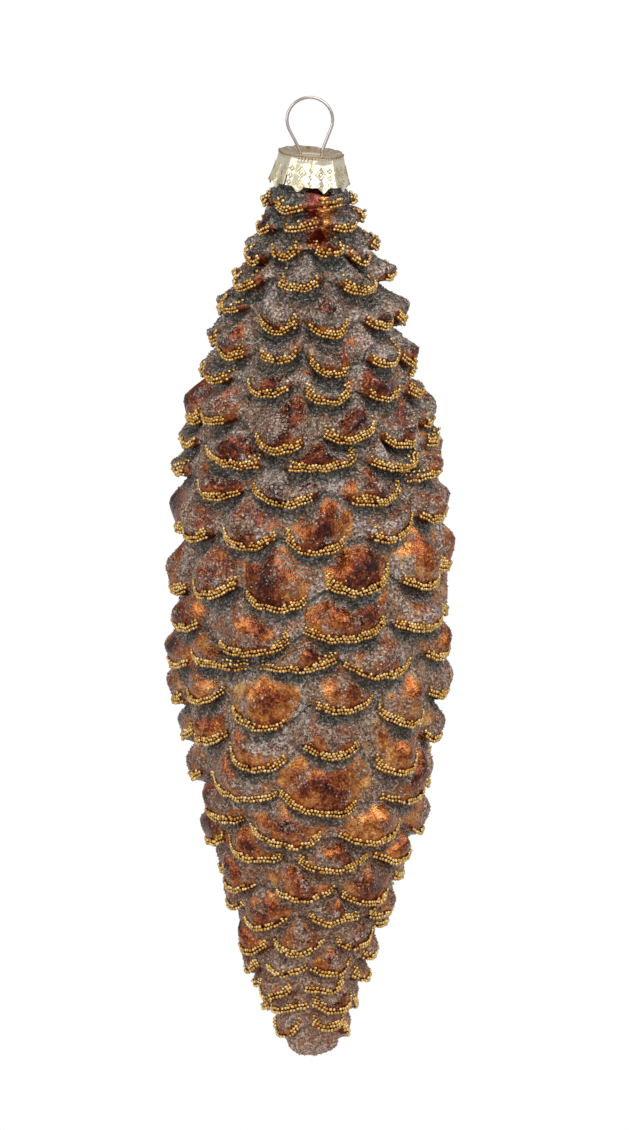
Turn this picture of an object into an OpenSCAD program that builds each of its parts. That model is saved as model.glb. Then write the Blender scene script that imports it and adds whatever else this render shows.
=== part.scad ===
// Pine cone bauble: a mould-blown glass cone with a crimped sheet-metal cap and a sprung wire hanger.
// Millimetres. The origin is the hang point, inside the top of the wire loop, +Z is up and -Y is the front.
// The scales point down, as on a hanging cone. Turns are degrees from the front towards +X.

/* [Glass cone] */
// Length of the cone, from the shoulder under the cap to the tip
cone_l = 165.5; // [145:0.5:185]
// Widest diameter over the scale lips, without the beads
cone_d = 51.6; // [44:0.2:60]
// Thickness of the glass in the valleys
wall = 0.9; // [0.6:0.1:1.4]
// How far a lip stands out over the valley below it
lip_relief = 2.4; // [1.2:0.1:3]
// How far the two ends of a lip rise above its middle
lip_rise = 2.3; // [1:0.1:4.5]
// How far one end of a lip may lie above the other
lip_slant = 2.2; // [0:0.1:3]
// How far a valley between two scales lies behind their lips
valley_dip = 1.9; // [0.8:0.1:2.5]
// How unevenly the scales are set, up or down and in or out
unevenness = 1.2; // [0:0.1:1.5]

/* [Neck] */
// Outer diameter of the glass neck
neck_d = 11.6; // [9:0.2:14]

/* [Bead edging] */
// Height of the band of gold beads along each lip
edging_h = 1.5; // [0.8:0.1:1.8]
// How far the beads stand out from the lip
edging_t = 0.8; // [0.4:0.1:1.2]

/* [Cap] */
// Height of the cap, from its top to the creases of the skirt
cap_h = 5.4; // [4.5:0.1:8]
// Number of crimped facets round the skirt
cap_facets = 9; // [7:1:12]
// Thickness of the cap's sheet metal
sheet = 0.25; // [0.2:0.05:0.4]
// Room between the neck and the top of the cap
cap_play = 0.25; // [0.1:0.05:0.6]
// How much wider the skirt is at its foot, as a radius
cap_flare = 1.2; // [0.6:0.1:2]
// How far the points of the skirt reach below its creases
tooth_h = 1.2; // [0.4:0.1:1.6]
// How far the cap sits askew, right side down
cap_tilt = 4.5; // [0:0.5:6]
// Depth of the pan pressed into the cap's top
pan_depth = 0.5; // [0.3:0.1:1]

/* [Hanger] */
// Diameter of the wire
wire_d = 0.5; // [0.4:0.05:0.7]
// Height of the loop, from the hang point to the cap
loop_h = 10.1; // [9:0.1:14]
// Width of the loop between wire centres
loop_w = 8.5; // [6:0.1:9]
// Distance between the wire's legs where they enter the cap
foot_w = 4; // [3:0.1:5]
// Length of the sprung legs inside the neck
leg_l = 6.2; // [4:0.1:8]
// How far the loop leans to the left
loop_lean = 2.3; // [0:0.1:4]

/* [Hidden] */
// Tiers of scales, top to bottom, as they lie on the moulded cone: [lip, in hundredths of the cone's
// length; scales round it; turn of the scale nearest the front; how far every other scale hangs lower]
TIERS = [
    [1.3, 6, 30, 0.5], [3.9, 6, -14, 0.3], [6.8, 9, 15, 0.8], [9.8, 7, -10, 0.5], [14.1, 9, 14, 0],
    [18.3, 10, 14, 0.6], [22.1, 10, 9, 0], [26.8, 10, 18, 0.8], [29.7, 8, 2, 0], [33.1, 9, -11, 0.6],
    [38.1, 11, 4, 1], [44.4, 10, -14, 0], [49, 8, 15, 0.8], [52.4, 9, -6, 0.8], [57.3, 10, 13, 1.6],
    [62, 10, 10, 3.4], [68.3, 7, 8, 0], [72.8, 7, -14, 0.8], [76.3, 7, 13, 0], [80.2, 7, -7, 0.4],
    [83, 7, 15, 0], [86.2, 7, -11, 0.4], [88.9, 7, 22, 0], [91.2, 6, 17, 0.5], [93.7, 5, -35, 0.8],
    [96.5, 5, 26, 0]
];
// Outline over the lips: [hundredths of the length, share of the widest radius]
OUTLINE = [
    [1, 0.32], [5, 0.40], [9, 0.55], [21, 0.76], [32, 0.95], [45, 0.99], [54, 1],
    [66, 0.875], [79, 0.69], [90, 0.435], [98, 0.22], [100, 0.13]
];
// Where the columns of points lie across a scale, in shares of its width from its middle
LIP_COLUMNS = [-0.42, -0.16, 0.16, 0.42];
SWELL_COLUMNS = [-0.42, 0, 0.42];
// Over this share of its width each point stays below the tier above
COVER_REACH = 0.16;
// Turn of one crease of the cap's skirt
CREASE_TURN = 2.6;
INNER_COLUMNS = 12;
// Columns farther than this from a scale's middle are the ends of its lip
LIP_END = 0.25;
// Most that a lip stands out and a valley lies back, in shares of the lip's radius
RELIEF_SHARE = 0.26;
DIP_SHARE = 0.1;
// Most that the band of beads, the unevenness, the slant and the rise take of the gap between two tiers
BAND_SHARE = 0.42;
SLACK_SHARE = 0.18;
SLANT_SHARE = 0.35;
RISE_SHARE = 0.8;
// How far the upper edge of a lip lies behind its lower one
LIP_BACK = 0.2;
// Height of a bead strip's ridge, as a share of the band
RIDGE_SHARE = 0.45;
// The swell of a scale lies this share of the way down it, and stands out by these shares of the
// way from root to lip on its ridge and at its sides, with the ridge raised a little more
SWELL_DOWN = 0.6;
RIDGE_OUT = 0.9;
SIDE_OUT = 0.5;
RIDGE_RAISE = 0.35;
// Unevenness, as shares of its slack: a slow wave round each tier, and each scale in or out
WAVE = 1.4;
IN_OUT = 0.3;
TURN_SWING = 0.06;
// Degrees by which the swings of level, slant, radius and turn go on from scale to scale, and all of
// them from tier to tier
LEVEL_PACE = 137;
SLANT_PACE = 173;
OUT_PACE = 97;
TURN_PACE = 211;
TIER_PACE = 61;
WAVE_PACE = 33;
UNDERCUT = 0.35;
TUCK = 0.6;
SHOULDER_GAP = 0.35;
LEG_GAP = 0.1;
PAN_GAP = 0.25;
TOOTH_TIP = 0.4;
// How far below the skirt's foot the arches between its points start
ARCH_SINK = 0.05;
NUB = 1;
// Radius of the ring over the tip, as a share of the last lip's
NUB_SHARE = 0.6;
// Room between the inside of the glass and its deepest valleys
INNER_ROOM = 0.2;
WIRE_SIDES = 8;

last = len(TIERS) - 1;
wire_r = wire_d / 2;
neck_r = neck_d / 2;
bore_r = neck_r - wall;
axis_x = loop_h * tan(loop_lean);
crease_share = cos(180 / cap_facets);
cap_top_r = (neck_r + cap_play + sheet) / crease_share;
cap_foot_r = cap_top_r + cap_flare;
shoulder_depth = loop_h + cap_h + tooth_h + SHOULDER_GAP;
shoulder_r = cap_foot_r * crease_share - sheet - SHOULDER_GAP;
tip_depth = shoulder_depth + cone_l;

// Places on the cone

function swing(tier, scale, pace) = sin(pace * scale + TIER_PACE * tier);
function lip_depth(tier) = shoulder_depth + cone_l * TIERS[tier][0] / 100;
function pitch(tier) = 360 / TIERS[tier][1];
function tier_gap(tier) = lip_depth(tier) - (tier == 0 ? shoulder_depth : lip_depth(tier - 1));
function lip_r(tier) = cone_d / 2 * lookup(TIERS[tier][0], OUTLINE);
function relief(tier) = min(lip_relief, RELIEF_SHARE * lip_r(tier));
function dip(tier) = min(valley_dip, DIP_SHARE * lip_r(tier));
function band(tier) = min(edging_h, BAND_SHARE * tier_gap(tier));
function slack(tier) = min(unevenness, SLACK_SHARE * tier_gap(tier));

// A point is [turn, radius, height]. A ring is a list of points, by rising turn from 0 to 360.

// Point k of a ring, going on past both ends
function at(ring, k) =
    let (n = len(ring))
    ring[(k + n) % n] + [360 * floor(k / n), 0, 0];

// A ring's radius or height as pairs with the turn
function wrapped(ring, part) = [for (k = [-2:len(ring) + 1]) let (p = at(ring, k)) [p[0], p[part]]];
function value(pairs, turn) = lookup((turn + 360) % 360, pairs);

// The lowest height of a ring within some degrees of a turn
function cover(heights, turn, reach) =
    min([for (k = [-1:0.25:1]) lookup((turn + 360) % 360 + k * reach, heights)]);

function round_ring(r, z, tilt = 0) = [
    for (k = [0:INNER_COLUMNS - 1])
        let (turn = 360 * k / INNER_COLUMNS)
        [turn, r, z - r * sin(turn) * tan(tilt)]
];

// Points in rising order, turned back into the range from 0 to 360
function ring_of(points) = concat(
    [for (p = points) if (p[0] >= 360) [p[0] - 360, p[1], p[2]]],
    [for (p = points) if (p[0] >= 0 && p[0] < 360) p],
    [for (p = points) if (p[0] < 0) [p[0] + 360, p[1], p[2]]]
);

function scale_turn(tier, scale, across) =
    let (off = TURN_SWING * unevenness * swing(tier, scale, TURN_PACE))
    TIERS[tier][2] + (scale + across + off) * pitch(tier);

// One scale's lip: the points of its lower edge, tucked under the tier above
function scale_lip(tier, scale, above) = [
    for (across = LIP_COLUMNS)
        let (turn = scale_turn(tier, scale, across), at_end = abs(across) > LIP_END)
        let (wave = WAVE * slack(tier) * (sin(turn + WAVE_PACE * tier) - sin(WAVE_PACE * tier)))
        let (slant = across * min(lip_slant, SLANT_SHARE * tier_gap(tier)) * swing(tier, scale, SLANT_PACE))
        let (lower = scale % 2 * TIERS[tier][3] - slack(tier) * swing(tier, scale, LEVEL_PACE))
        let (level = -lip_depth(tier) + wave + slant - lower)
        let (highest = cover(above, turn, COVER_REACH * pitch(tier)) - band(tier) - UNDERCUT - TUCK)
        [
            turn,
            lip_r(tier) - (at_end ? dip(tier) : 0) + IN_OUT * slack(tier) * swing(tier, scale, OUT_PACE),
            min(highest, level + (at_end ? min(lip_rise, RISE_SHARE * tier_gap(tier)) : 0))
        ]
];

// The lines of a lip that follow from its lower edge
function upper_edge(tier, lip) = [for (p = lip) [p[0], p[1] - LIP_BACK, p[2] + band(tier)]];
// The root lies evenly deep, so the ledge over it fades towards the ends of a lip
function root_line(tier, lip) = [
    for (p = lip) [p[0], lip_r(tier) - relief(tier), p[2] - UNDERCUT]
];

// Every scale's lip, tier by tier from the shoulder down
function settle(tier, above) =
    tier > last ? [] :
    let (lips = [for (scale = [0:TIERS[tier][1] - 1]) scale_lip(tier, scale, above)])
    let (root = ring_of([for (lip = lips) each root_line(tier, lip)]))
    concat([lips], settle(tier + 1, wrapped(root, 2)));

shoulder = round_ring(shoulder_r, -shoulder_depth, cap_tilt);
lips = settle(0, wrapped(shoulder, 2));
lower = [for (tier = [0:last]) ring_of([for (lip = lips[tier]) each lip])];
upper = [for (tier = [0:last]) ring_of([for (lip = lips[tier]) each upper_edge(tier, lip)])];
root = [for (tier = [0:last]) ring_of([for (lip = lips[tier]) each root_line(tier, lip)])];

// The swell of each scale, halfway down it: its ridge stands out and its sides fall back
function swell_ring(tier, above, below) =
    let (above_r = wrapped(above, 1), above_z = wrapped(above, 2))
    let (below_r = wrapped(below, 1), below_z = wrapped(below, 2))
    ring_of([
        for (scale = [0:TIERS[tier][1] - 1]) for (across = SWELL_COLUMNS)
            let (turn = scale_turn(tier, scale, across), out = across == 0 ? RIDGE_OUT : SIDE_OUT)
            let (r0 = value(above_r, turn), r1 = value(below_r, turn))
            let (z0 = cover(above_z, turn, COVER_REACH * pitch(tier)), z1 = value(below_z, turn))
            [
                turn,
                r0 + out * (r1 - r0) + (across == 0 ? RIDGE_RAISE : 0),
                z0 + SWELL_DOWN * (z1 - z0)
            ]
    ]);

// Outside of the glass, from the shoulder to the tip
outside = concat(
    [shoulder],
    [for (tier = [0:last]) each [
        swell_ring(tier, tier == 0 ? shoulder : root[tier - 1], upper[tier]),
        upper[tier], lower[tier], root[tier]
    ]],
    [round_ring(NUB_SHARE * lip_r(last), NUB - tip_depth), [[0, 0, -tip_depth]]]
);

// Inside of the glass, from the tip to the mouth of the neck
function inner_r(tier) = lip_r(tier) - max(relief(tier), dip(tier)) - wall - INNER_ROOM;
inside = concat(
    [[[0, 0, wall + NUB - lip_depth(last) - 1]]],
    [for (tier = [last - 1:-2:0]) round_ring(inner_r(tier), -lip_depth(tier))],
    [round_ring(bore_r, wall - shoulder_depth)]
);

function rim_ring(r) = round_ring(r, -loop_h - sheet / cos(cap_tilt), cap_tilt);

// Skin over a stack of rings

function place(p) = [p[1] * sin(p[0]), -p[1] * cos(p[0]), p[2]];
function flat(lists) = [for (list = lists) each list];
function starts(rings, at = 0, total = 0) =
    at == len(rings) ? [] : concat([total], starts(rings, at + 1, total + len(rings[at])));
function turn_gap(a, b, i, j) = abs(at(a, i)[0] - at(b, j)[0]);

// Triangles between two rings that may have different numbers of points, with the shorter diagonals
function belt(a, b, first_a, first_b, i, j, end_j) =
    let (n = len(a), m = len(b))
    i >= n && j >= end_j ? []
    : j >= end_j || (i < n && turn_gap(a, b, i + 1, j) <= turn_gap(a, b, i, j + 1))
        ? concat(
            [[first_a + i, first_a + (i + 1) % n, first_b + (j + m) % m]],
            belt(a, b, first_a, first_b, i + 1, j, end_j)
        )
        : concat(
            [[first_a + i % n, first_b + (j + 1) % m, first_b + (j + m) % m]],
            belt(a, b, first_a, first_b, i, j + 1, end_j)
        );

// A belt starts at the two points that lie closest, and a ring of one point is a pole
function whole_belt(a, b, first_a, first_b) =
    let (i = len(a) == 1 ? 1 : 0, closer = turn_gap(a, b, 0, -1) < turn_gap(a, b, 0, 0))
    let (j = len(b) == 1 ? 1 : len(a) > 1 && closer ? -1 : 0)
    belt(a, b, first_a, first_b, i, j, len(b) == 1 ? 1 : j + len(b));

module skin(rings) {
    first = starts(rings);
    polyhedron(
        [for (p = flat(rings)) place(p)],
        [for (k = [0:len(rings) - 2]) each whole_belt(rings[k], rings[k + 1], first[k], first[k + 1])]
    );
}

// Sub-parts

module glass_body() {
    neck = [
        rim_ring(bore_r),
        rim_ring(neck_r),
        round_ring(neck_r, wall + 1 - shoulder_depth)
    ];
    color("#7d4b2c")
        translate([axis_x, 0, 0])
            skin(concat(inside, neck, outside));
}

// Strips of beads: the inner side of each is the face of its lip, the outer side a blunt ridge
module bead_edging_tier(tier) {
    columns = len(LIP_COLUMNS);
    function strip_points(lip) =
        let (top = upper_edge(tier, lip)) [
        for (k = [0:columns - 1]) each [
            place(top[k]),
            place(lip[k]),
            place([lip[k][0], lip[k][1] + edging_t, lip[k][2] + RIDGE_SHARE * band(tier)])
        ]
    ];
    function strip_faces(base) = concat(
        [[base, base + 2, base + 1]],
        [for (k = [0:columns - 2]) let (p = base + 3 * k) each [
            [p, p + 1, p + 3], [p + 1, p + 4, p + 3],
            [p + 1, p + 2, p + 5], [p + 1, p + 5, p + 4],
            [p + 2, p, p + 3], [p + 2, p + 3, p + 5]
        ]],
        [[base + 3 * columns - 3, base + 3 * columns - 2, base + 3 * columns - 1]]
    );
    color("#c9963a")
        translate([axis_x, 0, 0])
            polyhedron(
                [for (lip = lips[tier]) each strip_points(lip)],
                [for (scale = [0:len(lips[tier]) - 1]) each strip_faces(scale * 3 * columns)]
            );
}

// Frustum with flat facets; wider is measured from the cap's outer skin
module facet_cup(drop, wider) {
    reach = cap_h + tooth_h;
    slope = cap_flare / cap_h;
    translate([0, 0, -reach])
        rotate([0, 0, CREASE_TURN - 90])
            cylinder(h = reach - drop, r1 = cap_top_r + slope * reach + wider,
                r2 = cap_top_r + slope * drop + wider, $fn = cap_facets);
}

// Low diamond pressed outward in the middle of a facet
module diamond(turn, size, height, down) {
    slope = atan(cap_flare * crease_share / cap_h);
    facet_r = (cap_top_r + cap_flare * down / cap_h) * crease_share;
    rotate([0, 0, turn - 90])
        translate([facet_r - sheet / 2, 0, -down])
            rotate([0, 90 - slope, 0])
                cylinder(h = sheet / 2 + height, r1 = size, r2 = size * 0.5, $fn = 4);
}

module cap() {
    step = 360 / cap_facets;
    arch_r = (cap_foot_r + cap_flare * tooth_h / cap_h) * sin(step / 2) - TOOTH_TIP / 2;
    pan_r = bore_r - PAN_GAP;
    color("#d3c99c")
        translate([axis_x, 0, -loop_h])
            rotate([0, cap_tilt, 0])
                difference() {
                    union() {
                        difference() {
                            facet_cup(0, 0);
                            facet_cup(sheet, -sheet / crease_share);
                        }
                        translate([0, 0, -pan_depth - sheet])
                            cylinder(h = pan_depth + sheet / 2, r = pan_r, $fn = 32);
                        for (k = [0:cap_facets - 1]) {
                            diamond(CREASE_TURN + (k + 0.5) * step, 1.5, 0.15, 0.6 * cap_h);
                            diamond(CREASE_TURN + (k + 0.5) * step, 0.7, 0.3, 0.6 * cap_h);
                        }
                    }
                    translate([0, 0, -pan_depth])
                        cylinder(h = pan_depth + 1, r = pan_r - sheet, $fn = 32);
                    cube([foot_w + 2 * wire_d, 2 * wire_d, 4 * pan_depth + 2], center = true);
                    for (k = [0:cap_facets - 1])
                        rotate([90, 0, CREASE_TURN + k * step])
                            translate([0, -cap_h - tooth_h, cap_foot_r / 2])
                                linear_extrude(cap_foot_r)
                                    polygon([
                                        for (a = [0:20:180])
                                            [arch_r * cos(a), (tooth_h + ARCH_SINK) * sin(a) - ARCH_SINK],
                                        [-arch_r, -1],
                                        [arch_r, -1]
                                    ]);
                }
}

// Half of the hanger's centre line, from the top of the loop to the end of a leg; side is 1 or -1
function half_wire(side) =
    let (loop_r = loop_w / 2, drop = loop_h + wire_r - loop_r, half = foot_w / 2)
    let (reach = asin(loop_r / norm([drop, half])) - atan(half / drop))
    let (arc = [for (k = [0:10]) let (a = 90 - k * (90 + reach) / 10)
        [side * loop_r * cos(a), wire_r - loop_r + loop_r * sin(a)]])
    let (leaning = [for (p = arc) [
        p[0] * cos(loop_lean) - p[1] * sin(loop_lean),
        p[0] * sin(loop_lean) + p[1] * cos(loop_lean)
    ]])
    let (end = bore_r - wire_r - LEG_GAP)
    concat(leaning, [
        [axis_x + side * half, 0.2 - loop_h],
        [axis_x + side * half, -loop_h - pan_depth - sheet],
        [axis_x + side * (half + 0.3), -loop_h - pan_depth - sheet - 0.8],
        [axis_x + side * (end - 0.1), 0.8 - loop_h - leg_l],
        [axis_x + side * end, -loop_h - leg_l]
    ]);

module hanger_wire() {
    right = half_wire(1);
    left = half_wire(-1);
    path = concat([for (k = [len(left) - 1:-1:1]) left[k]], right);
    count = len(path);
    function along(k) =
        let (d = path[min(k + 1, count - 1)] - path[max(k - 1, 0)])
        d / norm(d);
    points = [for (k = [0:count - 1]) for (side = [0:WIRE_SIDES - 1])
        let (t = along(k), a = 360 * side / WIRE_SIDES)
        [path[k][0] - t[1] * wire_r * cos(a), wire_r * sin(a), path[k][1] + t[0] * wire_r * cos(a)]];
    sides = [for (k = [0:count - 2]) for (side = [0:WIRE_SIDES - 1])
        let (p = k * WIRE_SIDES, next = (side + 1) % WIRE_SIDES)
        [p + side, p + next, p + WIRE_SIDES + next, p + WIRE_SIDES + side]];
    ends = [
        [for (side = [WIRE_SIDES - 1:-1:0]) side],
        [for (side = [0:WIRE_SIDES - 1]) (count - 1) * WIRE_SIDES + side]
    ];
    color("#c8c6c0")
        polyhedron(points, concat(sides, ends));
}

glass_body();
cap();
hanger_wire();
bead_edging_tier(0);  // bead_edging_tier_01
bead_edging_tier(1);  // bead_edging_tier_02
bead_edging_tier(2);  // bead_edging_tier_03
bead_edging_tier(3);  // bead_edging_tier_04
bead_edging_tier(4);  // bead_edging_tier_05
bead_edging_tier(5);  // bead_edging_tier_06
bead_edging_tier(6);  // bead_edging_tier_07
bead_edging_tier(7);  // bead_edging_tier_08
bead_edging_tier(8);  // bead_edging_tier_09
bead_edging_tier(9);  // bead_edging_tier_10
bead_edging_tier(10);  // bead_edging_tier_11
bead_edging_tier(11);  // bead_edging_tier_12
bead_edging_tier(12);  // bead_edging_tier_13
bead_edging_tier(13);  // bead_edging_tier_14
bead_edging_tier(14);  // bead_edging_tier_15
bead_edging_tier(15);  // bead_edging_tier_16
bead_edging_tier(16);  // bead_edging_tier_17
bead_edging_tier(17);  // bead_edging_tier_18
bead_edging_tier(18);  // bead_edging_tier_19
bead_edging_tier(19);  // bead_edging_tier_20
bead_edging_tier(20);  // bead_edging_tier_21
bead_edging_tier(21);  // bead_edging_tier_22
bead_edging_tier(22);  // bead_edging_tier_23
bead_edging_tier(23);  // bead_edging_tier_24
bead_edging_tier(24);  // bead_edging_tier_25
bead_edging_tier(25);  // bead_edging_tier_26
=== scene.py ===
"""Pine cone bauble: lacquered glass with gold bead edging and frosting, a crimped cap and a wire hanger."""

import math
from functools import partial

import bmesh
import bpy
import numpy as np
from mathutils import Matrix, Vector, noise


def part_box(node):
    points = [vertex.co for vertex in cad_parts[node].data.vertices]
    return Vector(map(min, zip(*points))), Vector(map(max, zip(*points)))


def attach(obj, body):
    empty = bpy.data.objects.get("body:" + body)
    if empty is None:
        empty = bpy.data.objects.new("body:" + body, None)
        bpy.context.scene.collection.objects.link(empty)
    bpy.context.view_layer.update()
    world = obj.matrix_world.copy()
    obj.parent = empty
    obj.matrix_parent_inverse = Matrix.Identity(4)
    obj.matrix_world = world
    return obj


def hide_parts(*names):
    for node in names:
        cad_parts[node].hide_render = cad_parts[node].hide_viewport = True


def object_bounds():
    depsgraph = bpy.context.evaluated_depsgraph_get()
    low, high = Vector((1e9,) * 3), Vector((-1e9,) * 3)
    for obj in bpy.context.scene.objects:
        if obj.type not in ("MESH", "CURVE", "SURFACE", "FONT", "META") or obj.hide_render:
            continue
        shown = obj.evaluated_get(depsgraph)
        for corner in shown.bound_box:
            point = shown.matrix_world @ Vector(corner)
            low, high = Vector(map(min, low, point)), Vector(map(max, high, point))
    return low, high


bl_info = {
    "name": "Glass pine cone bauble",
    "version": (1, 0, 0),
    "blender": (4, 5, 0),
    "location": "3D View > Sidebar > Pine cone",
    "description": "Dresses the pine cone bauble: glass, beads, frosting, cap, wire and stage",
    "category": "Object",
}

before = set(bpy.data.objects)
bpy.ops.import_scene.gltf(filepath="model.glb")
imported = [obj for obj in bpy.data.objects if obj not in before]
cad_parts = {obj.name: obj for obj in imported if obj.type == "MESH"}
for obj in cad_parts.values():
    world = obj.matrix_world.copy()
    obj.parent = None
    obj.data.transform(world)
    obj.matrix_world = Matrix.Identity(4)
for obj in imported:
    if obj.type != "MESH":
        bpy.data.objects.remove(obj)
CAD_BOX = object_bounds()

MM = 0.001
GLASS_NODE, CAP_NODE, WIRE_NODE = "glass_body", "cap", "hanger_wire"
TIER_NODES = sorted(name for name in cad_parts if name.startswith("bead_edging_tier_"))
# Where the columns of a bead strip lie across its scale
STRIP_COLUMNS = (-0.42, -0.16, 0.16, 0.42)
COLUMNS = len(STRIP_COLUMNS)
# Share of the strips' bow that the blown lips keep
LIP_BOW = 0.8
# Lines round the cone have their points at these turns from the front
SAMPLES = 1440
TURNS = np.linspace(0, 360, SAMPLES, endpoint=False)


# The frame's own sizes, in millimetres


def corners(node):
    """Every distinct corner of a CAD node."""
    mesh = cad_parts[node].data
    flat = np.empty(len(mesh.vertices) * 3)
    mesh.vertices.foreach_get("co", flat)
    return np.unique(np.round(flat.reshape(-1, 3) / MM, 3), axis=0)


def islands(node):
    """The corners of each separate solid of a CAD node."""
    bm = bmesh.new()
    bm.from_mesh(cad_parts[node].data)
    bmesh.ops.remove_doubles(bm, verts=bm.verts, dist=0.01 * MM)
    seen, found = set(), []
    for start in bm.verts:
        if start in seen:
            continue
        island, todo = [], [start]
        seen.add(start)
        while todo:
            vert = todo.pop()
            island.append(np.array(vert.co) / MM)
            for other in (edge.other_vert(vert) for edge in vert.link_edges):
                if other not in seen:
                    seen.add(other)
                    todo.append(other)
        found.append(np.array(island))
    bm.free()
    return found


def neck_sizes():
    """Axis, neck and shoulder of the glass, read from its corners."""
    points = corners(GLASS_NODE)
    rim_height, rim_play, neck_play = 1.5, 0.1, 0.4
    top = points[points[:, 2] > points[:, 2].max() - rim_height]
    axis = (top[:, 0].min() + top[:, 0].max()) / 2
    out = np.hypot(top[:, 0] - axis, top[:, 1])
    neck = out.max()
    rim = top[out > neck - rim_play]
    tilt = (rim[:, 2].max() - rim[:, 2].min()) / (2 * neck)
    wide = points[np.hypot(points[:, 0] - axis, points[:, 1]) > neck + neck_play]
    high = wide[wide[:, 2].argmax()]
    shoulder = math.hypot(high[0] - axis, high[1])
    return dict(
        axis=axis, neck=neck, bore=out.min(), rim=rim[:, 2].mean(), tilt=tilt, shoulder=shoulder,
        shoulder_z=high[2] - shoulder * tilt, tip_z=points[:, 2].min(),
    )


def read_lips(node, axis):
    """The lip columns of a tier by rising turn: turn, place in scales, radius and height."""
    rows = []
    for island in islands(node):
        turns = np.degrees(np.arctan2(island[:, 0] - axis, -island[:, 1]))
        middle = island.mean(axis=0)
        centre = math.degrees(math.atan2(middle[0] - axis, -middle[1]))
        away = (turns - centre + 180) % 360 - 180
        strip = []
        for group in np.argsort(away).reshape(COLUMNS, 3):
            x, y, z = min((island[k] for k in group), key=lambda corner: corner[2])
            strip.append((away[group].mean(), math.hypot(x - axis, y), z))
        lowest = min(z for _, _, z in strip)
        rows.append((centre % 360, [(turn, r, lowest + LIP_BOW * (z - lowest)) for turn, r, z in strip]))
    rows.sort()
    return [
        (centre + turn, scale + across, radius, z)
        for scale, (centre, strip) in enumerate(rows)
        for across, (turn, radius, z) in zip(STRIP_COLUMNS, strip)
    ]


def lip_curve(turns, values, at):
    """Closed line through the lip columns: a smooth bow along each lip, and straight from lip to lip."""
    x, y = np.append(turns, turns[0] + 360), np.append(values, values[0])
    # Grades over one step and over two
    one, two = np.diff(y) / np.diff(x), (y[2:] - y[:-2]) / (x[2:] - x[:-2])
    slope = np.empty(len(turns))
    for k in range(0, len(turns), COLUMNS):
        slope[k:k + COLUMNS] = 2 * one[k] - two[k], two[k], two[k + 1], 2 * one[k + 2] - two[k + 1]
    at = (np.asarray(at) - x[0]) % 360 + x[0]
    k = np.clip(np.searchsorted(x, at, side="right") - 1, 0, len(turns) - 1)
    width = x[k + 1] - x[k]
    t = (at - x[k]) / width
    straight = y[k] + (y[k + 1] - y[k]) * t
    bow = y[k] + (y[k + 1] - y[k]) * ease(t) + width * (
        t * (1 - t) ** 2 * slope[k] - t * t * (1 - t) * slope[(k + 1) % len(turns)]
    )
    return np.where(k % COLUMNS == COLUMNS - 1, straight, bow)


def on_turns(tier, turn, *names):
    """Values of a tier's lines, sampled on TURNS, at any turns."""
    turn = np.asarray(turn) % 360
    return [np.interp(turn, np.append(TURNS, 360), np.append(tier[name], tier[name][0])) for name in names]


def ring(turn, r, z, axis=0):
    """Points at turns from the front, so far from the axis and so high."""
    angle = np.radians(turn)
    return np.stack([axis + r * np.sin(angle), -r * np.cos(angle), z], axis=1)


def ease(t):
    """From 0 at 0 to 1 at 1, with a soft start and end."""
    t = np.clip(t, 0, 1)
    return t * t * (3 - 2 * t)


def bell(x, width, power=2):
    """1 where x is 0, falling softly to nothing a few widths away."""
    return np.exp(-(x / width) ** power)


def chance(*seeds):
    """A steady pseudo-random number from 0 to 1 for whole numbers or arrays of them."""
    total = sum(np.asarray(seed, float) * step for seed, step in zip(seeds, (12.9898, 78.233, 37.719)))
    wave = np.sin(total) * 43758.5453
    return wave - np.floor(wave)


# Settings


def length(name, description, default):
    """A setting in metres."""
    return bpy.props.FloatProperty(name=name, description=description, default=default, unit="LENGTH")


class GlassSettings(bpy.types.PropertyGroup):
    columns: bpy.props.IntProperty(name="Columns", description="Points round the cone", default=256)
    rows: bpy.props.IntProperty(name="Rows", description="Rows down the face of each tier", default=9)
    undercut: length("Undercut", "How far a valley lies behind the lip over it", 0.0025)
    pillow: length("Pillow", "Swell of each scale", 0.0008)
    keel: length("Keel", "Height of the soft ridge down each scale", 0.001)
    edge_round: length("Edge", "Rounding of the lips", 0.00045)


class BeadSettings(bpy.types.PropertyGroup):
    diameter: length("Bead", "Diameter of a bead", 0.00066)


class FrostSettings(bpy.types.PropertyGroup):
    grain: length("Grain", "Width of a glass grain", 0.00031)
    density: bpy.props.FloatProperty(
        name="Density", description="Grains on each square millimetre of full frost", default=5.2
    )


class CapSettings(bpy.types.PropertyGroup):
    facets: bpy.props.IntProperty(name="Facets", description="Crimped facets round the skirt", default=9)
    sheet: length("Sheet", "Thickness of the sheet metal", 0.00022)
    emboss: length("Emboss", "Height of the stamped pattern", 0.00013)


class WireSettings(bpy.types.PropertyGroup):
    plating: length("Plating", "What the bright plating adds to the wire's radius", 0.00003)


class StageSettings(bpy.types.PropertyGroup):
    elevation: bpy.props.FloatProperty(
        name="Elevation", description="Height of the camera over the horizon, in degrees", default=12
    )
    distance: length("Distance", "Camera to bauble", 3)
    floor_gap: length("Floor gap", "Height of the bauble's tip over the floor", 0.06)
    floor_radius: length("Floor radius", "Half the width of the floor", 0.14)
    pixel: length("Pixel", "Width of one pixel of the photograph at the bauble", 0.0001856)


SETTINGS = dict(
    cone_glass=GlassSettings, cone_beads=BeadSettings, cone_frost=FrostSettings, cone_cap=CapSettings,
    cone_wire=WireSettings, cone_stage=StageSettings,
)


# The cone as lines round it, in millimetres

# The lips waver by about 0.2 mm: by this share of a noise of this length, shifted for each tier
WAVER, WAVE, TIER_SHIFT = 0.45, 1.8, 9.7
# A tier is at least this high, and its relief is whole where it is this high
LEAST_DROP, WHOLE_DROP = 0.5, 3.0
# The greatest undercut as a share of a lip's radius, the least ledge, and how fast a ledge fades
MOST_UNDERCUT, LEAST_LEDGE, LEDGE_FADE = 0.27, 0.2, 1.15
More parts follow.
